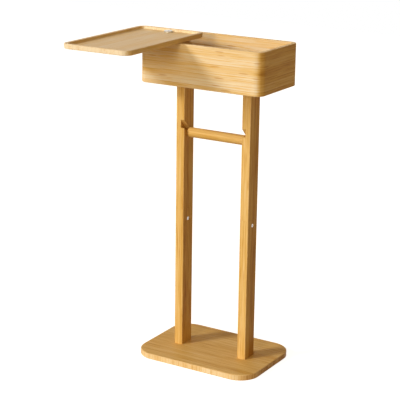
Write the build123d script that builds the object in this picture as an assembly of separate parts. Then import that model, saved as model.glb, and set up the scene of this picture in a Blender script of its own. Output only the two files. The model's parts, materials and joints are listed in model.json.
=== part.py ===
from build123d import *
import math
import os

os.makedirs("parts", exist_ok=True)

# Toilet roll stand with a box shelf and a swivelling tray lid, all in millimetres.
# The origin is the middle of the base's underside. X runs along the shelf, Y towards the back
# and Z up. The lid stands a quarter turn open, swung out over the front.

# Base board
base_length = 270.0
base_depth = 193.0
base_thickness = 12.0
base_corner_radius = 43.0
base_edge_bevel = 1.0

# Posts: each is a lower and an upper length, joined by a stub tenon and one cross screw
post_width = 19.0
post_depth = 36.0
post_gap = 130.0
post_edge_radius = 1.6
post_seam_height = 302.0
post_seam_chamfer = 0.3
tenon_thickness = 9.0
tenon_depth = 22.0
tenon_length = 34.0
tenon_edge_radius = 2.0
tenon_clearance = 0.2
tenon_chamfer = 0.4

# Box
rim_height = 648.0
box_length = 270.0
box_depth = 150.0
box_height = 83.0
box_wall_thickness = 9.0
box_corner_radius = 17.0
box_edge_bevel = 0.9
box_floor_thickness = 8.0
floor_tongue_thickness = 4.0
floor_tongue_reach = 4.0
floor_clearance = 0.1

# Tray lid
lid_thickness = 9.5
lid_recess = 5.0
lid_rim_width = 8.0
lid_edge_bevel = 0.8
lid_cove_bevel = 1.6
lid_gap = 1.0
lid_open_angle = -90.0

# Lid pivot, inside the box's left end
pivot_inset = 19.0
pivot_block_reach = 10.0
pivot_block_depth = 40.0
pivot_block_edge_radius = 2.0
pivot_shoulder_diameter = 8.0
pivot_head_diameter = 16.0
pivot_head_height = 2.6
pivot_clearance = 0.3
washer_diameter = 18.0
washer_thickness = 0.8
washer_play = 0.2
pivot_thread_length = 16.0

# Roll bar and the slanted slots that hold it
bar_height = 459.5
bar_diameter = 20.0
bar_end_bevel = 1.6
bar_end_play = 1.0
pin_diameter = 10.8
pin_clearance = 0.3
pin_chamfer = 0.8
slot_angle = 46.0
slot_depth = 8.3

# Bolts, threaded inserts and screws
bolt_diameter = 6.0
bolt_length = 32.0
bolt_hole_clearance = 0.4
bolt_spacing = 18.0
bolt_head_diameter = 12.0
bolt_head_height = 3.0
bolt_head_inset = 1.5
insert_diameter = 9.0
insert_length = 13.0
left_screw_drop = 22.0
right_screw_drop = 12.0
splice_screw_diameter = 4.0
splice_head_diameter = 7.6
splice_head_height = 2.0
splice_head_inset = 0.4
splice_insert_diameter = 6.5
block_screw_diameter = 4.0
block_screw_length = 32.0
block_screw_spacing = 24.0
block_screw_head_diameter = 8.0
block_screw_point = 3.0
head_clearance = 0.3
head_edge_bevel = 0.6
hole_end_clearance = 0.5
cut_overrun = 1.0
socket_share = 0.5
socket_depth_share = 0.65

# Places worked out from the sizes above
box_bottom = rim_height - box_height
floor_top = box_bottom + box_floor_thickness
post_x = (post_gap + post_width) / 2
pivot_x = pivot_inset - box_length / 2
lid_bottom = rim_height + lid_gap
lid_floor_top = lid_bottom + lid_thickness - lid_recess
pivot_shoulder_top = lid_floor_top + washer_play + washer_thickness
cheek_thickness = (post_width - tenon_thickness) / 2
bolt_places = (-bolt_spacing / 2, bolt_spacing / 2)
block_screw_places = (-block_screw_spacing / 2, block_screw_spacing / 2)
sides = {"left": -1, "right": 1}
splice_heights = {-1: post_seam_height - left_screw_drop, 1: post_seam_height - right_screw_drop}


def rod(diameter, bottom, top, x=0.0, y=0.0):
    """An upright cylinder between two heights."""
    alignment = (Align.CENTER, Align.CENTER, Align.MIN)
    return Pos(x, y, bottom) * Cylinder(diameter / 2, top - bottom, align=alignment)


def cross_rod(diameter, start, end, z, y=0.0):
    """A cylinder along X between two places."""
    alignment = (Align.CENTER, Align.CENTER, Align.MIN)
    lying = Rot(0, 90, 0) * Cylinder(diameter / 2, end - start, align=alignment)
    return Pos(start, y, z) * lying


def rounded_plate(length, depth, thickness, corner_radius):
    """A plate on Z = 0 with rounded upright corners."""
    return extrude(RectangleRounded(length, depth, corner_radius), thickness)


def upright_block(length, depth, bottom, top, edge_radius):
    """A block between two heights with rounded upright edges."""
    block = extrude(RectangleRounded(length, depth, edge_radius), top - bottom)
    return Pos(0, 0, bottom) * block


def ease_outline(plate, bevel, level):
    """Bevel the edges at the top (-1) or at the bottom (0) of a plate."""
    return chamfer(plate.edges().group_by(Axis.Z)[level], bevel)


def countersunk_head(diameter, shank, height):
    """A flat head that narrows downwards to the shank, its face on Z = 0."""
    cone = Cone(shank / 2, diameter / 2, height, align=(Align.CENTER, Align.CENTER, Align.MAX))
    return cone - hex_socket(diameter, height)


def hex_socket(head_diameter, head_height):
    """The key hole in a head whose face is on Z = 0."""
    depth = head_height * socket_depth_share
    key = RegularPolygon(head_diameter * socket_share / 2, 6)
    return Pos(0, 0, -depth) * extrude(key, depth)


def cylinder_head(diameter, height):
    """A low round head with a key hole, its face on Z = 0 and its seat below."""
    head = ease_outline(rod(diameter, -height, 0), head_edge_bevel, -1)
    return head - hex_socket(diameter, height)


def insert(top, x, y):
    """The threaded metal sleeve for a bolt, its top end at the given height."""
    bottom = top - insert_length
    return rod(insert_diameter, bottom, top, x, y) - rod(bolt_diameter, bottom, top, x, y)


def base_board():
    board = rounded_plate(base_length, base_depth, base_thickness, base_corner_radius)
    board = ease_outline(board, base_edge_bevel, -1)
    board = ease_outline(board, base_edge_bevel, 0)
    recess_top = bolt_head_inset + bolt_head_height
    for side in sides.values():
        for y in bolt_places:
            x = side * post_x
            board -= rod(bolt_diameter + bolt_hole_clearance, 0, base_thickness, x, y)
            board -= rod(bolt_head_diameter + 2 * head_clearance, 0, recess_top, x, y)
    return board


def post_length(bottom, top):
    """A straight length of post, centred on X = 0, with its upright edges eased."""
    return upright_block(post_width, post_depth, bottom, top, post_edge_radius)


def end_holes(bottom, top):
    """The pair of holes in a post's end for its threaded inserts and bolts."""
    holes = rod(insert_diameter, bottom, top, 0, bolt_places[0])
    return holes + rod(insert_diameter, bottom, top, 0, bolt_places[1])


def bolt_run(bottom, top):
    """The pair of narrower holes beyond the inserts, where the bolts' ends go."""
    bore = bolt_diameter + bolt_hole_clearance
    return rod(bore, bottom, top, 0, bolt_places[0]) + rod(bore, bottom, top, 0, bolt_places[1])


def splice_cutter(side):
    """The cross hole, with the head's recess on the +X face and the insert's seat opposite."""
    half = post_width / 2
    height = splice_heights[side]
    recess = splice_head_height + splice_head_inset
    hole = cross_rod(splice_screw_diameter + bolt_hole_clearance, -half, half, height)
    hole += cross_rod(splice_head_diameter + 2 * head_clearance, half - recess, half, height)
    hole += cross_rod(splice_insert_diameter, -half, -half + cheek_thickness, height)
    return hole


def lower_post(side):
    post = post_length(base_thickness, post_seam_height)
    post = chamfer(post.edges().group_by(Axis.Z)[-1], post_seam_chamfer)
    mortise_bottom = post_seam_height - tenon_length - tenon_clearance
    post -= upright_block(
        tenon_thickness + 2 * tenon_clearance,
        tenon_depth + 2 * tenon_clearance,
        mortise_bottom,
        post_seam_height,
        tenon_edge_radius + tenon_clearance,
    )
    bolt_end = bolt_head_inset + bolt_head_height + bolt_length + hole_end_clearance
    post -= end_holes(base_thickness, base_thickness + insert_length)
    post -= bolt_run(base_thickness, bolt_end)
    return post - splice_cutter(side)


def bar_slot(side):
    """A slanted groove in a post's inner face: open at the front, with a round seat inside."""
    width = pin_diameter + 2 * pin_clearance
    run = Rectangle(post_depth, width, align=(Align.MIN, Align.CENTER))
    groove = Plane.YZ * (Rot(0, 0, 180 - slot_angle) * run + Circle(width / 2))
    inner_face = -side * post_width / 2
    start = inner_face - cut_overrun if side > 0 else inner_face - slot_depth
    return Pos(start, 0, bar_height) * extrude(groove, slot_depth + cut_overrun)


def upper_post(side):
    post = post_length(post_seam_height, box_bottom)
    post = chamfer(post.edges().group_by(Axis.Z)[0], post_seam_chamfer)
    stub_bottom = post_seam_height - tenon_length
    stub = upright_block(
        tenon_thickness, tenon_depth, stub_bottom, post_seam_height, tenon_edge_radius
    )
    stub = chamfer(stub.edges().group_by(Axis.Z)[0], tenon_chamfer)
    post += stub
    bolt_end = floor_top - bolt_length - hole_end_clearance
    post -= end_holes(box_bottom - insert_length, box_bottom)
    post -= bolt_run(bolt_end, box_bottom)
    bore = splice_screw_diameter + bolt_hole_clearance
    post -= cross_rod(bore, -post_width / 2, post_width / 2, splice_heights[side])
    return post - bar_slot(side)


def splice_screw(side):
    """The screw across the tenon, its head sunk in the +X face."""
    half = post_width / 2
    height = splice_heights[side]
    face = half - splice_head_inset
    head = Rot(0, 90, 0) * cylinder_head(splice_head_diameter, splice_head_height)
    seat = face - splice_head_height
    shank = cross_rod(splice_screw_diameter, -half + splice_head_inset, seat, height)
    return Pos(face, 0, height) * head + shank


def splice_insert(side):
    """The threaded sleeve in the post's other cheek."""
    start = -post_width / 2
    end = start + cheek_thickness
    height = splice_heights[side]
    sleeve = cross_rod(splice_insert_diameter, start, end, height)
    return sleeve - cross_rod(splice_screw_diameter, start, end, height)


def base_bolt(x, y):
    """A bolt that comes up through the base, its head sunk in the underside."""
    seat = bolt_head_inset + bolt_head_height
    head = Rot(180, 0, 0) * cylinder_head(bolt_head_diameter, bolt_head_height)
    shank = rod(bolt_diameter, seat, seat + bolt_length, x, y)
    return Pos(x, y, bolt_head_inset) * head + shank


def floor_bolt(x, y):
    """A countersunk bolt that goes down through the box's floor into a post."""
    head = countersunk_head(bolt_head_diameter, bolt_diameter, bolt_head_height)
    head = Pos(x, y, floor_top) * head
    return head + rod(bolt_diameter, floor_top - bolt_length, floor_top - bolt_head_height, x, y)


def box_inner(grow, bottom, top):
    """A plug that fills the wall ring between two heights, larger all round by grow."""
    length = box_length - 2 * box_wall_thickness + 2 * grow
    depth = box_depth - 2 * box_wall_thickness + 2 * grow
    corner = box_corner_radius - box_wall_thickness + grow
    return Pos(0, 0, bottom) * rounded_plate(length, depth, top - bottom, corner)


def box_wall():
    ring = Pos(0, 0, box_bottom) * rounded_plate(box_length, box_depth, box_height, box_corner_radius)
    ring -= box_inner(0, box_bottom, rim_height)
    ring = ease_outline(ring, box_edge_bevel, -1)
    ring = ease_outline(ring, box_edge_bevel, 0)
    groove_bottom = box_bottom + (box_floor_thickness - floor_tongue_thickness) / 2 - floor_clearance
    groove_top = groove_bottom + floor_tongue_thickness + 2 * floor_clearance
    return ring - box_inner(floor_tongue_reach + floor_clearance, groove_bottom, groove_top)


def box_floor():
    panel = box_inner(-floor_clearance, box_bottom, floor_top)
    tongue_bottom = box_bottom + (box_floor_thickness - floor_tongue_thickness) / 2
    panel += box_inner(floor_tongue_reach, tongue_bottom, tongue_bottom + floor_tongue_thickness)
    sink = bolt_head_height
    for side in sides.values():
        for y in bolt_places:
            place = Pos(side * post_x, y, floor_top)
            alignment = (Align.CENTER, Align.CENTER, Align.MAX)
            bore = (bolt_diameter + bolt_hole_clearance) / 2
            wide = bore + (bolt_head_diameter - bolt_diameter) / 2
            panel -= place * Cone(bore, wide, sink, align=alignment)
            panel -= place * Cylinder(bore, box_floor_thickness, align=alignment)
    for y in block_screw_places:
        bore = block_screw_diameter + bolt_hole_clearance
        wide = block_screw_head_diameter + bolt_hole_clearance
        depth = (wide - bore) / 2
        alignment = (Align.CENTER, Align.CENTER, Align.MIN)
        panel -= Pos(pivot_x, y, box_bottom) * Cone(wide / 2, bore / 2, depth, align=alignment)
        panel -= rod(bore, box_bottom, floor_top, pivot_x, y)
    return panel


def pivot_block():
    """The block inside the box's left end that carries the lid's pivot."""
    wall_face = box_wall_thickness - box_length / 2
    free_face = pivot_x + pivot_block_reach
    block = upright_block(
        free_face - wall_face, pivot_block_depth, floor_top, rim_height, pivot_block_edge_radius
    )
    block = Pos((wall_face + free_face) / 2, 0, 0) * block
    block -= rod(insert_diameter, rim_height - insert_length, rim_height, pivot_x)
    bore_bottom = rim_height - pivot_thread_length - hole_end_clearance
    block -= rod(bolt_diameter + bolt_hole_clearance, bore_bottom, rim_height, pivot_x)
    for y in block_screw_places:
        screw_top = box_bottom + block_screw_length
        block -= rod(block_screw_diameter, floor_top, screw_top - block_screw_point, pivot_x, y)
        tip = Cone(
            block_screw_diameter / 2, 0, block_screw_point, align=(Align.CENTER, Align.CENTER, Align.MIN)
        )
        block -= Pos(pivot_x, y, screw_top - block_screw_point) * tip
    return block


def pivot_block_screw(y):
    """A pointed screw up through the floor into the pivot block."""
    alignment = (Align.CENTER, Align.CENTER, Align.MIN)
    depth = (block_screw_head_diameter - block_screw_diameter) / 2
    head = Rot(180, 0, 0) * countersunk_head(block_screw_head_diameter, block_screw_diameter, depth)
    screw = Pos(pivot_x, y, box_bottom) * head
    point_start = box_bottom + block_screw_length - block_screw_point
    screw += rod(block_screw_diameter, box_bottom + depth, point_start, pivot_x, y)
    tip = Cone(block_screw_diameter / 2, 0, block_screw_point, align=alignment)
    return screw + Pos(pivot_x, y, point_start) * tip


def pivot_bolt():
    """The bolt that the lid turns on, its shoulder standing on the block's insert."""
    head = cylinder_head(pivot_head_diameter, pivot_head_height)
    bolt = Pos(pivot_x, 0, pivot_shoulder_top + pivot_head_height) * head
    bolt += rod(pivot_shoulder_diameter, rim_height, pivot_shoulder_top, pivot_x)
    return bolt + rod(bolt_diameter, rim_height - pivot_thread_length, rim_height, pivot_x)


def pivot_washer(bottom):
    """A plain washer round the pivot's shoulder."""
    washer = rod(washer_diameter, bottom, bottom + washer_thickness, pivot_x)
    hole = pivot_shoulder_diameter + 2 * pivot_clearance
    return washer - rod(hole, bottom, bottom + washer_thickness, pivot_x)


def lid_tray():
    """The shallow tray that closes the box, turned about its pivot to where it stands open."""
    tray = rounded_plate(box_length, box_depth, lid_thickness, box_corner_radius)
    recess = rounded_plate(
        box_length - 2 * lid_rim_width,
        box_depth - 2 * lid_rim_width,
        lid_recess + cut_overrun,
        box_corner_radius - lid_rim_width,
    )
    recess = ease_outline(recess, lid_cove_bevel, 0)
    tray -= Pos(0, 0, lid_thickness - lid_recess) * recess
    tray = ease_outline(tray, lid_edge_bevel, -1)
    tray = ease_outline(tray, lid_edge_bevel, 0)
    tray -= rod(pivot_shoulder_diameter + 2 * pivot_clearance, 0, lid_thickness, pivot_x)
    swing = Pos(pivot_x, 0, lid_bottom) * Rot(0, 0, lid_open_angle) * Pos(-pivot_x, 0, 0)
    return swing * tray


def roll_bar():
    """A turned bar with a thinner pin at each end that drops into the posts' slots."""
    body_end = post_gap / 2 - bar_end_play
    pin_end = post_gap / 2 + slot_depth - bar_end_play
    body = cross_rod(bar_diameter, -body_end, body_end, bar_height)
    body = chamfer(body.edges().filter_by(GeomType.CIRCLE), bar_end_bevel)
    pins = cross_rod(pin_diameter, -pin_end, pin_end, bar_height)
    pins = chamfer(pins.edges().filter_by(GeomType.CIRCLE), pin_chamfer)
    return body + pins


def write(name, shape):
    export_step(shape, f"parts/{name}.step")


def write_side(name, side):
    """Everything that one post needs, from the base's underside to the box's floor."""
    x = side * post_x
    move = Pos(x, 0, 0)
    write(f"{name}_post_lower", move * lower_post(side))
    write(f"{name}_post_upper", move * upper_post(side))
    write(f"{name}_splice_screw", move * splice_screw(side))
    write(f"{name}_splice_insert", move * splice_insert(side))
    write(f"{name}_base_bolts", Compound([base_bolt(x, y) for y in bolt_places]))
    write(f"{name}_floor_bolts", Compound([floor_bolt(x, y) for y in bolt_places]))
    for label, top in (("base", base_thickness + insert_length), ("floor", box_bottom)):
        write(f"{name}_{label}_inserts", Compound([insert(top, x, y) for y in bolt_places]))


write("base_board", base_board())
for side_name, side_sign in sides.items():
    write_side(side_name, side_sign)
write("box_floor", box_floor())
write("box_wall", box_wall())
write("pivot_block", pivot_block())
write("pivot_block_screws", Compound([pivot_block_screw(y) for y in block_screw_places]))
write("pivot_insert", insert(rim_height, pivot_x, 0))
write("pivot_bolt", pivot_bolt())
write("lower_washer", pivot_washer(rim_height))
write("upper_washer", pivot_washer(lid_floor_top + washer_play))
write("lid_tray", lid_tray())
write("roll_bar", roll_bar())
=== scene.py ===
import json
import math

import bpy
from mathutils import Matrix, Vector


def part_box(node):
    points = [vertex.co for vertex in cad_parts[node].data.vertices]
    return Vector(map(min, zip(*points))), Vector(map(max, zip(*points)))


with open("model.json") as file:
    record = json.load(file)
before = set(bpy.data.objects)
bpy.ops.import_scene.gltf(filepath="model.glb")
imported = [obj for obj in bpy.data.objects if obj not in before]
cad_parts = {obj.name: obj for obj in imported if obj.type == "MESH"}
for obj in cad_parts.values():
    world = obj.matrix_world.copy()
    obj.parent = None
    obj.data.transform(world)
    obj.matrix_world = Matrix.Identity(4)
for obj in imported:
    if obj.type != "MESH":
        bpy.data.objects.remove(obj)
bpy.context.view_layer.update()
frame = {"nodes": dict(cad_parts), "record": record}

# Camera: its place in metres, its turns in degrees and its lens in millimetres
CAMERA_PLACE = (1.3021, -2.2200, 1.0756)
CAMERA_YAW = 31.11
CAMERA_PITCH = 16.19
CAMERA_ROLL = 0.79
CAMERA_LENS = 121.24

# Light: a soft key from the front left, a warmer one from the front, and a warm even fill
LAMPS = {
    "key": dict(direction=(0.52, 0.714, -0.467), strength=1.9, angle=14.0, colour=(1.0, 0.99, 0.99)),
    "front": dict(direction=(-0.05, 0.97, -0.22), strength=1.05, angle=16.0, colour=(1.0, 0.88, 0.66)),
}
FILL_STRENGTH = 0.27
FILL_COLOUR = (1.0, 0.74, 0.45)
SEEN_STRENGTH = 1.0
SEEN_COLOUR = (1.0, 1.0, 1.0)

# Floor: how wide it is in metres, what it is painted and how far it is lifted towards white
FLOOR_SIZE = 8.0
FLOOR_COLOUR = (0.60, 0.54, 0.47, 1.0)
FLOOR_LIFT = 0.90

# Bamboo's colours, from the darkest streak to the palest fibre
BAMBOO_TONES = (
    (0.00, (0.400, 0.160, 0.025)),
    (0.28, (0.610, 0.320, 0.065)),
    (0.48, (0.725, 0.445, 0.120)),
    (0.68, (0.830, 0.558, 0.212)),
    (0.85, (0.870, 0.655, 0.360)),
    (1.00, (0.920, 0.780, 0.550)),
)

# The cut ends of the middle layer's strips in the base's edge
PLY_END_TONES = (
    (0.00, (0.500, 0.240, 0.060)),
    (0.40, (0.760, 0.480, 0.190)),
    (0.70, (0.880, 0.660, 0.350)),
    (1.00, (0.950, 0.800, 0.560)),
)
PLY_STRIP = 0.0085
PLY_WARP_SCALES = (45.0, 45.0, 0.0)
PLY_WARP = 3.0
PLY_LINE_SCALES = (300.0, 300.0, 14.0)
PLY_CLOUD_SCALES = (28.0, 28.0, 8.0)
PLY_START = -0.42
PLY_SHARES = {"pale": 0.30, "lines": 1.35, "cloud": 0.55}
# Painted shade: a lower tone for the ply ends on faces that look along X
PLY_PAINTED_SIDE_SHADE = -0.45
PLY_COVER = 0.85
UPRIGHT_BAND = (0.6, 0.2)

# Grain: features per metre along it and both ways across it, and each one's share in the tone
GRAIN_SCALES = {
    "cloud": (3.0, 24.0, 24.0),
    "streak": (7.0, 330.0, 330.0),
    "flame": (22.0, 190.0, 190.0),
    "vessel": (11.0, 430.0, 430.0),
    "fibre": (60.0, 2200.0, 2200.0),
}
GRAIN_SHARES = {"chance": 0.16, "cloud": 0.40, "streak": 0.55, "fibre": 0.18, "flame": 0.28}
MIDDLE_TONE = 0.5
VESSEL_BAND = (0.47, 0.33)
VESSEL_SHARE = -0.24
STRIP_SHIFT = 3.7
WAVE_SCALE = 5.0
WAVE_REACH = 0.0016
FACE_BAND = (0.35, 0.85)

# The cane's nodes, in metres, and in shares of a strip's width
NODE_TONE = (0.540, 0.235, 0.045, 1.0)
NODE_COVER = 0.55
NODE_SPACING = 0.260
NODE_LENGTH = 0.026
NODE_HALF_WIDTH = 0.24
NODE_STAGGER = 7.3
NODE_RAGGED = 1.6
NODE_BAND = (1.0, 0.1)

# Glue joints between the strips, and the palest edges, partly wear and partly a painted highlight
JOINT_TONE = (0.360, 0.170, 0.050, 1.0)
JOINT_COVER = 0.30
JOINT_BAND = (0.455, 0.5)
EDGE_WEAR_AND_HIGHLIGHT_TONE = (0.920, 0.720, 0.430, 1.0)
EDGE_WIDTH = 0.0018
WEAR_AND_HIGHLIGHT_BAND = (0.35, 0.65)
WEAR_AND_HIGHLIGHT_COVER = (0.2, 0.65)

# Lacquer: fine relief in metres, and how rough and shiny it is
FIBRE_BUMP = 0.00012
FIBRE_RELIEF = 0.5
STREAK_RELIEF = 0.5
JOINT_RELIEF = -0.6
STREAK_BAND = (0.2, 0.8)
LACQUER_ROUGHNESS = (0.36, 0.50)
LACQUER_SHINE = dict(Coat_Roughness=0.2, Specular_IOR_Level=0.05)

# Sizes of the plates' outlines, in metres
WALL_CORNER = 0.017
BASE_CORNER = 0.043
FLOOR_CORNER = 0.008
WALL_THICKNESS = 0.009
TRAY_RIM = 0.008

# What a piece looks like unless it says otherwise. Tone and contrast move the colour along the tones,
# marks is how strong the nodes show, and the face pair is painted shade and light: it changes the tone of
# faces that look along X and along Y.
PLAIN_LOOK = dict(
    corner=0.0, rim=0.0, tone=0.0, contrast=1.0, marks=1.0, painted_face_shading=(0.0, 0.0), coat=0.0, ply=False
)

# Each bamboo piece: its grain, the width of its strips both ways across the grain, and its look
BAMBOO_PIECES = {
    "base_board": dict(
        grain="x", strips=(0.006, 0.05), corner=BASE_CORNER, tone=0.05, marks=0.2, ply=True
    ),
    # The box wall's faces that look along X are darkened with painted shade
    "box_wall": dict(
        grain="ring", strips=(0.0072, 0.02), corner=WALL_CORNER, rim=WALL_THICKNESS,
        tone=0.35, marks=0.8, painted_face_shading=(-0.42, 0.0),
    ),
    "box_floor": dict(grain="x", strips=(0.018, 0.03), corner=FLOOR_CORNER),
    "pivot_block": dict(grain="z", strips=(0.007, 0.02)),
    # The tray's faces that look along X get a little painted shade, and those along Y painted light
    "lid_tray": dict(
        grain="y", strips=(0.0085, 0.05), corner=WALL_CORNER, rim=TRAY_RIM,
        tone=0.27, contrast=0.6, marks=0.4, painted_face_shading=(-0.1, 0.25), coat=0.15,
    ),
    "roll_bar": dict(grain="x", strips=(0.006, 0.03)),
}
# The posts' faces that look along X are darkened with painted shade
POST_LOOK = dict(grain="z", strips=(0.0058, 0.0215), tone=0.07, contrast=1.2, marks=0.8, painted_face_shading=(-0.22, 0.0))

# Where each piece's pattern starts. A post's two lengths start nearly alike, so their seam is quiet.
SEED_START = Vector((0.13, 0.0043, 0.0031))
SEED_STEP = Vector((0.31, 0.17, 0.23))
POST_SEEDS = {
    "left_post_lower": (0.0017, 0.0029, 0.00),
    "left_post_upper": (0.0027, 0.0029, 0.02),
    "right_post_lower": (0.1117, 0.0029, 0.37),
    "right_post_upper": (0.1127, 0.0029, 0.39),
}

# Hardware: clean and tarnished colours, roughness, and features per metre
METALS = {
    "steel": dict(clean=(0.74, 0.73, 0.71, 1.0), dark=(0.40, 0.39, 0.38, 1.0), roughness=0.24),
    "brass": dict(clean=(0.80, 0.60, 0.27, 1.0), dark=(0.52, 0.36, 0.14, 1.0), roughness=0.28),
}
TARNISH_SCALES = (260.0, 260.0, 260.0)
TARNISH_BAND = (0.35, 0.75)
TARNISH_COVER = 0.6
SCRATCH_SCALES = (900.0, 900.0, 5200.0)
SCRATCH_BUMP = 0.00004
SCRATCH_ROUGHNESS = 0.18
NYLON_TONES = ((0.62, 0.55, 0.42, 1.0), (0.76, 0.70, 0.57, 1.0))
NYLON_SCALES = (1400.0, 1400.0, 1400.0)
NYLON_BUMP = 0.00003
NYLON_ROUGHNESS = (0.45, 0.6)


class Graph:
    """A material's node graph, built with short calls."""

    def __init__(self, name):
        self.material = bpy.data.materials.new(name)
        self.material.use_nodes = True
        self.tree = self.material.node_tree
        self.tree.nodes.clear()
        self.shader = self.add("ShaderNodeBsdfPrincipled")
        output = self.add("ShaderNodeOutputMaterial")
        self.tree.links.new(self.shader.outputs[0], output.inputs["Surface"])
        self.where = self.add("ShaderNodeTexCoord").outputs["Object"]

    def add(self, kind, **settings):
        node = self.tree.nodes.new(kind)
        for key, value in settings.items():
            setattr(node, key, value)
        return node

    def feed(self, socket, value):
        """Link an output to a socket, or set the socket's own value."""
        if isinstance(value, bpy.types.NodeSocket):
            self.tree.links.new(value, socket)
        else:
            socket.default_value = value

    def math(self, operation, first, second=0.0, third=0.0):
        node = self.add("ShaderNodeMath", operation=operation)
        for socket, value in zip(node.inputs, (first, second, third)):
            self.feed(socket, value)
        return node.outputs[0]

    def vector_math(self, operation, first, second):
        node = self.add("ShaderNodeVectorMath", operation=operation)
        self.feed(node.inputs[0], first)
        self.feed(node.inputs[1], second)
        return node.outputs[0]

    def split(self, vector):
        node = self.add("ShaderNodeSeparateXYZ")
        self.feed(node.inputs[0], vector)
        return list(node.outputs)

    def vector(self, x, y, z):
        node = self.add("ShaderNodeCombineXYZ")
        for socket, value in zip(node.inputs, (x, y, z)):
            self.feed(socket, value)
        return node.outputs[0]

    def noise(self, vector, scales, detail=3.0, roughness=0.55):
        """Soft noise with its own scale along each direction."""
        node = self.add("ShaderNodeTexNoise", noise_dimensions="3D")
        self.feed(node.inputs["Vector"], self.vector_math("MULTIPLY", vector, scales))
        self.feed(node.inputs["Scale"], 1.0)
        self.feed(node.inputs["Detail"], detail)
        self.feed(node.inputs["Roughness"], roughness)
        return node.outputs[0]

    def random(self, vector):
        node = self.add("ShaderNodeTexWhiteNoise", noise_dimensions="3D")
        self.feed(node.inputs["Vector"], vector)
        return node.outputs["Value"]

    def smooth(self, value, band, start=0.0, end=1.0):
        """Go smoothly from start to end while the value crosses the band."""
        node = self.add("ShaderNodeMapRange", interpolation_type="SMOOTHSTEP")
        for socket, given in zip(node.inputs, (value, *band, start, end)):
            self.feed(socket, given)
        return node.outputs[0]

    def mix(self, share, first, second):
        """Blend two colours, which a mix node takes in its inputs 6 and 7."""
        node = self.add("ShaderNodeMix", data_type="RGBA")
        self.feed(node.inputs[0], share)
        self.feed(node.inputs[6], first)
        self.feed(node.inputs[7], second)
        return node.outputs[2]

    def tones(self, value, stops):
        """Look a value up on a colour ramp."""
        node = self.add("ShaderNodeValToRGB")
        ramp = node.color_ramp
        while len(ramp.elements) < len(stops):
            ramp.elements.new(0.5)
        for element, (position, colour) in zip(ramp.elements, stops):
            element.position = position
            element.color = (*colour, 1.0)
        self.feed(node.inputs[0], value)
        return node.outputs[0]

    def bump(self, height, distance):
        node = self.add("ShaderNodeBump")
        self.feed(node.inputs["Distance"], distance)
        self.feed(node.inputs["Height"], height)
        self.feed(self.shader.inputs["Normal"], node.outputs[0])

    def close(self, **values):
        """Set or link the shader's sockets and hand over the material."""
        for key, value in values.items():
            self.feed(self.shader.inputs[key.replace("_", " ")], value)
        return self.material


def outline_depth(graph, node, corner):
    """How far in a point lies from a plate's outline, with its rounded corners, seen from above."""
    low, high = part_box(node)
    x, y, _ = graph.split(graph.where)
    out = []
    for value, start, end in ((x, low.x, high.x), (y, low.y, high.y)):
        centred = graph.math("SUBTRACT", value, (start + end) / 2)
        out.append(graph.math("SUBTRACT", graph.math("ABSOLUTE", centred), (end - start) / 2 - corner))
    beyond = [graph.math("POWER", graph.math("MAXIMUM", value, 0.0), 2.0) for value in out]
    outside = graph.math("SQRT", graph.math("ADD", beyond[0], beyond[1]))
    inside = graph.math("MINIMUM", graph.math("MAXIMUM", out[0], out[1]), 0.0)
    return graph.math("SUBTRACT", corner, graph.math("ADD", outside, inside))


def depth_between(graph, value, low, high):
    """The distance to the nearer of two faces."""
    return graph.math("MINIMUM", graph.math("SUBTRACT", value, low), graph.math("SUBTRACT", high, value))


def edge_share(graph, node, corner, rim):
    """1 on a plate's edges, or on the upright edges of a piece with no corner, and 0 a little way in."""
    low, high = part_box(node)
    x, y, z = graph.split(graph.where)
    if corner:
        first = outline_depth(graph, node, corner)
        if rim:
            inner = graph.math("ABSOLUTE", graph.math("SUBTRACT", first, rim))
            first = graph.math("MINIMUM", first, inner)
        second = depth_between(graph, z, low.z, high.z)
    else:
        first = depth_between(graph, x, low.x, high.x)
        second = depth_between(graph, y, low.y, high.y)
    return graph.smooth(graph.math("MAXIMUM", first, second), (EDGE_WIDTH, 0.0))


def grain_coordinates(graph, node, grain, seed):
    """The point as distances along the grain and both ways across it."""
    x, y, z = graph.split(graph.vector_math("ADD", graph.where, seed))
    if grain == "x":
        return x, y, z
    if grain == "y":
        return y, x, z
    if grain == "z":
        return z, x, y
    return graph.math("ADD", x, y), z, outline_depth(graph, node, WALL_CORNER)


def from_middle(graph, value):
    """How far a repeated value is from the middle of its step, from -0.5 to 0.5."""
    return graph.math("SUBTRACT", graph.math("FRACT", value), 0.5)


def node_marks(graph, along, strip, chance, ragged):
    """Darker lens-shaped marks where the cane's nodes cross each strip."""
    turn = graph.math("MULTIPLY_ADD", chance, NODE_STAGGER, graph.math("DIVIDE", along, NODE_SPACING))
    away = graph.math("MULTIPLY", from_middle(graph, turn), NODE_SPACING / (NODE_LENGTH / 2))
    across = graph.math("DIVIDE", from_middle(graph, strip), NODE_HALF_WIDTH)
    reach = graph.math("ADD", graph.math("POWER", away, 2.0), graph.math("POWER", across, 2.0))
    reach = graph.math("MULTIPLY_ADD", graph.math("SUBTRACT", ragged, 0.5), NODE_RAGGED, reach)
    return graph.smooth(reach, NODE_BAND)


def strip_joint(graph, strip):
    """Thin glue lines between the strips."""
    return graph.smooth(graph.math("ABSOLUTE", from_middle(graph, strip)), JOINT_BAND)


def face_shares(graph):
    """1 on faces that look along X, and along Y, and 0 on the rest: the masks for painted shade and light
    by a face's direction.
    """
    normal = graph.split(graph.add("ShaderNodeTexCoord").outputs["Normal"])
    return [graph.smooth(graph.math("ABSOLUTE", part), FACE_BAND) for part in normal[:2]]


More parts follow.
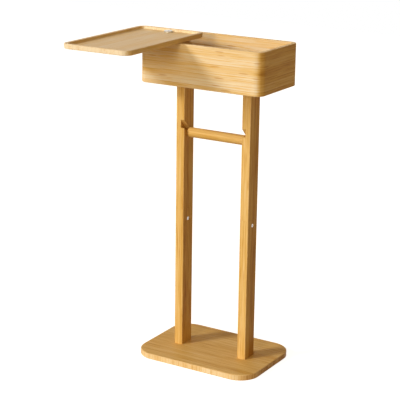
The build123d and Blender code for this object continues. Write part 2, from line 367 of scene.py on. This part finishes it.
def ply_ends(graph, colour):
    """On upright faces, the cut ends of the middle layer's strips, darkened by painted shade on faces that
    look along X.
    """
    normal = graph.split(graph.add("ShaderNodeTexCoord").outputs["Normal"])
    upright = graph.smooth(graph.math("ABSOLUTE", normal[2]), UPRIGHT_BAND)
    warp = graph.noise(graph.where, PLY_WARP_SCALES, detail=1.0)
    places = []
    for value in graph.split(graph.where)[:2]:
        shifted = graph.math("MULTIPLY_ADD", warp, PLY_STRIP * PLY_WARP, value)
        places.append(graph.math("FLOOR", graph.math("DIVIDE", shifted, PLY_STRIP)))
    parts = {
        "pale": graph.random(graph.vector(*places, 0.0)),
        "lines": graph.noise(graph.where, PLY_LINE_SCALES),
        "cloud": graph.noise(graph.where, PLY_CLOUD_SCALES, detail=1.0),
    }
    value = PLY_START
    for name, part in parts.items():
        value = graph.math("MULTIPLY_ADD", part, PLY_SHARES[name], value)
    # Painted shade on the ply ends of faces that look along X
    value = graph.math("MULTIPLY_ADD", face_shares(graph)[0], PLY_PAINTED_SIDE_SHADE, value)
    cover = graph.math("MULTIPLY", upright, PLY_COVER)
    return graph.mix(cover, colour, graph.tones(value, PLY_END_TONES))


def grain_parts(graph, along, side, other, chance):
    """The noises that make up the grain. Those of streaks jump from one strip to the next."""
    even = graph.vector(along, side, other)
    jumping = graph.vector(graph.math("MULTIPLY_ADD", chance, STRIP_SHIFT, along), side, other)
    return {
        "chance": chance,
        "cloud": graph.noise(even, GRAIN_SCALES["cloud"], detail=2.0),
        "streak": graph.noise(jumping, GRAIN_SCALES["streak"], detail=4.0, roughness=0.6),
        "fibre": graph.noise(even, GRAIN_SCALES["fibre"], roughness=0.7),
        "flame": graph.noise(jumping, GRAIN_SCALES["flame"]),
        "vessel": graph.noise(jumping, GRAIN_SCALES["vessel"], detail=2.0),
    }


def grain_tone(graph, parts, look):
    """The grain's place on the scale of tones, with thin dark vessels, and with painted shade and light on
    faces that look along X and along Y.
    """
    value = look["tone"] + MIDDLE_TONE
    for name, share in GRAIN_SHARES.items():
        centred = graph.math("SUBTRACT", parts[name], 0.5)
        value = graph.math("MULTIPLY_ADD", centred, share * look["contrast"], value)
    vessel = graph.smooth(parts["vessel"], VESSEL_BAND)
    value = graph.math("MULTIPLY_ADD", vessel, VESSEL_SHARE * look["contrast"], value)
    # Painted shade and light: a tone change by which way a face looks
    for share, change in zip(face_shares(graph), look["painted_face_shading"]):
        value = graph.math("MULTIPLY_ADD", share, change, value)
    return value


def bamboo(node, seed, grain, strips, **changes):
    """Lacquered laminated bamboo whose strips run along the grain."""
    look = {**PLAIN_LOOK, **changes}
    graph = Graph(f"bamboo_{node}")
    along, side, other = grain_coordinates(graph, node, grain, seed)
    wave = graph.noise(graph.vector(along, 0.0, 0.0), (WAVE_SCALE, 0.0, 0.0), detail=1.0)
    side = graph.math("MULTIPLY_ADD", graph.math("SUBTRACT", wave, 0.5), WAVE_REACH, side)
    strip = graph.math("DIVIDE", side, strips[0])
    layer = graph.math("DIVIDE", other, strips[1])
    chance = graph.random(graph.vector(graph.math("FLOOR", strip), graph.math("FLOOR", layer), 0.0))
    parts = grain_parts(graph, along, side, other, chance)

    colour = graph.tones(grain_tone(graph, parts, look), BAMBOO_TONES)
    mark = node_marks(graph, along, strip, chance, parts["flame"])
    colour = graph.mix(graph.math("MULTIPLY", mark, NODE_COVER * look["marks"]), colour, NODE_TONE)
    joint = strip_joint(graph, strip)
    colour = graph.mix(graph.math("MULTIPLY", joint, JOINT_COVER), colour, JOINT_TONE)
    if look["ply"]:
        colour = ply_ends(graph, colour)
    # Paler edges: partly wear, partly a painted highlight along them
    edge = edge_share(graph, node, look["corner"], look["rim"])
    worn_and_highlit = graph.math("MULTIPLY", edge, graph.smooth(parts["cloud"], WEAR_AND_HIGHLIGHT_BAND, *WEAR_AND_HIGHLIGHT_COVER))
    colour = graph.mix(worn_and_highlit, colour, EDGE_WEAR_AND_HIGHLIGHT_TONE)

    relief = graph.math("MULTIPLY", parts["streak"], STREAK_RELIEF)
    relief = graph.math("MULTIPLY_ADD", parts["fibre"], FIBRE_RELIEF, relief)
    graph.bump(graph.math("MULTIPLY_ADD", joint, JOINT_RELIEF, relief), FIBRE_BUMP)
    rough = graph.smooth(parts["streak"], STREAK_BAND, *LACQUER_ROUGHNESS)
    return graph.close(Base_Color=colour, Roughness=rough, Coat_Weight=look["coat"], **LACQUER_SHINE)


def metal(name, clean, dark, roughness):
    """Plated or turned metal with fine machining marks and a little tarnish."""
    graph = Graph(name)
    cloud = graph.noise(graph.where, TARNISH_SCALES)
    scratch = graph.noise(graph.where, SCRATCH_SCALES, detail=2.0)
    graph.bump(scratch, SCRATCH_BUMP)
    shade = graph.mix(graph.smooth(cloud, TARNISH_BAND, end=TARNISH_COVER), clean, dark)
    rough = graph.smooth(scratch, STREAK_BAND, roughness, roughness + SCRATCH_ROUGHNESS)
    return graph.close(Base_Color=shade, Roughness=rough, Metallic=1.0)


def nylon(name):
    """Matt ivory plastic with a faint moulded grain."""
    graph = Graph(name)
    speck = graph.noise(graph.where, NYLON_SCALES, detail=2.0)
    graph.bump(speck, NYLON_BUMP)
    shade = graph.mix(speck, *NYLON_TONES)
    rough = graph.smooth(speck, STREAK_BAND, *NYLON_ROUGHNESS)
    return graph.close(Base_Color=shade, Roughness=rough)


def dress(node, material):
    """Give a CAD node its finish."""
    mesh = frame["nodes"][node].data
    mesh.materials.clear()
    mesh.materials.append(material)


def dress_bamboo():
    """Each plate and bar has a seed of its own, and each post's two lengths nearly share one."""
    for number, (node, look) in enumerate(BAMBOO_PIECES.items()):
        dress(node, bamboo(node, SEED_START + number * SEED_STEP, **look))
    for node, seed in POST_SEEDS.items():
        dress(node, bamboo(node, seed, **POST_LOOK))


def dress_hardware():
    """Screws and bolts in zinc, inserts in brass and washers in nylon, by the frame's slots."""
    by_slot = {
        "steel": metal("zinc_steel", **METALS["steel"]),
        "brass": metal("turned_brass", **METALS["brass"]),
        "nylon": nylon("washer_nylon"),
    }
    for part in frame["record"]["subparts"]:
        if part["material_slot"] in by_slot:
            dress(part["node"], by_slot[part["material_slot"]])


def seen_directly(tree):
    """1 for rays from the camera, off a glossy surface or through glass, and 0 for the rest."""
    path = tree.nodes.new("ShaderNodeLightPath")
    seen = path.outputs["Is Camera Ray"]
    for name in ("Is Glossy Ray", "Is Transmission Ray"):
        either = tree.nodes.new("ShaderNodeMath")
        either.operation = "MAXIMUM"
        tree.links.new(seen, either.inputs[0])
        tree.links.new(path.outputs[name], either.inputs[1])
        seen = either.outputs[0]
    return seen


def make_floor():
    """A floor that keeps the object's shadow and looks white, also in reflections."""
    bpy.ops.mesh.primitive_plane_add(size=FLOOR_SIZE, location=(0, 0, 0))
    floor = bpy.context.object
    floor.name = "floor"
    material = bpy.data.materials.new("floor_white")
    material.use_nodes = True
    tree = material.node_tree
    tree.nodes.clear()
    diffuse = tree.nodes.new("ShaderNodeBsdfDiffuse")
    diffuse.inputs["Color"].default_value = FLOOR_COLOUR
    lift = tree.nodes.new("ShaderNodeMath")
    lift.operation = "MULTIPLY"
    lift.inputs[1].default_value = FLOOR_LIFT
    tree.links.new(seen_directly(tree), lift.inputs[0])
    glow = tree.nodes.new("ShaderNodeEmission")
    tree.links.new(lift.outputs[0], glow.inputs["Strength"])
    both = tree.nodes.new("ShaderNodeAddShader")
    tree.links.new(diffuse.outputs[0], both.inputs[0])
    tree.links.new(glow.outputs[0], both.inputs[1])
    output = tree.nodes.new("ShaderNodeOutputMaterial")
    tree.links.new(both.outputs[0], output.inputs["Surface"])
    floor.data.materials.append(material)


def make_world():
    """An even warm fill, which the camera and reflections see as white."""
    world = bpy.data.worlds.new("studio")
    bpy.context.scene.world = world
    world.use_nodes = True
    tree = world.node_tree
    tree.nodes.clear()
    choose = tree.nodes.new("ShaderNodeMixShader")
    tree.links.new(seen_directly(tree), choose.inputs[0])
    lights = ((FILL_COLOUR, FILL_STRENGTH), (SEEN_COLOUR, SEEN_STRENGTH))
    for socket, (colour, strength) in zip(choose.inputs[1:], lights):
        background = tree.nodes.new("ShaderNodeBackground")
        background.inputs["Color"].default_value = (*colour, 1.0)
        background.inputs["Strength"].default_value = strength
        tree.links.new(background.outputs[0], socket)
    output = tree.nodes.new("ShaderNodeOutputWorld")
    tree.links.new(choose.outputs[0], output.inputs["Surface"])


def make_light(name, direction, strength, angle, colour):
    """A distant soft lamp that shines along a direction."""
    light = bpy.data.lights.new(name, "SUN")
    light.energy = strength
    light.angle = math.radians(angle)
    light.color = colour
    lamp = bpy.data.objects.new(name, light)
    lamp.rotation_mode = "QUATERNION"
    lamp.rotation_quaternion = Vector(direction).to_track_quat("-Z", "Y")
    bpy.context.scene.collection.objects.link(lamp)


def make_camera():
    """The photograph's view: turned about Z, tipped down and rolled a little."""
    data = bpy.data.cameras.new("camera")
    data.lens = CAMERA_LENS
    camera = bpy.data.objects.new("camera", data)
    bpy.context.scene.collection.objects.link(camera)
    turn = Matrix.Rotation(math.radians(CAMERA_YAW), 4, "Z")
    tip = Matrix.Rotation(math.radians(90 - CAMERA_PITCH), 4, "X")
    roll = Matrix.Rotation(math.radians(CAMERA_ROLL), 4, "Z")
    camera.matrix_world = Matrix.Translation(CAMERA_PLACE) @ turn @ tip @ roll
    bpy.context.scene.camera = camera


bpy.context.scene.view_settings.view_transform = "Standard"
dress_bamboo()
dress_hardware()
make_floor()
make_world()
for lamp_name, settings in LAMPS.items():
    make_light(lamp_name, **settings)
make_camera()
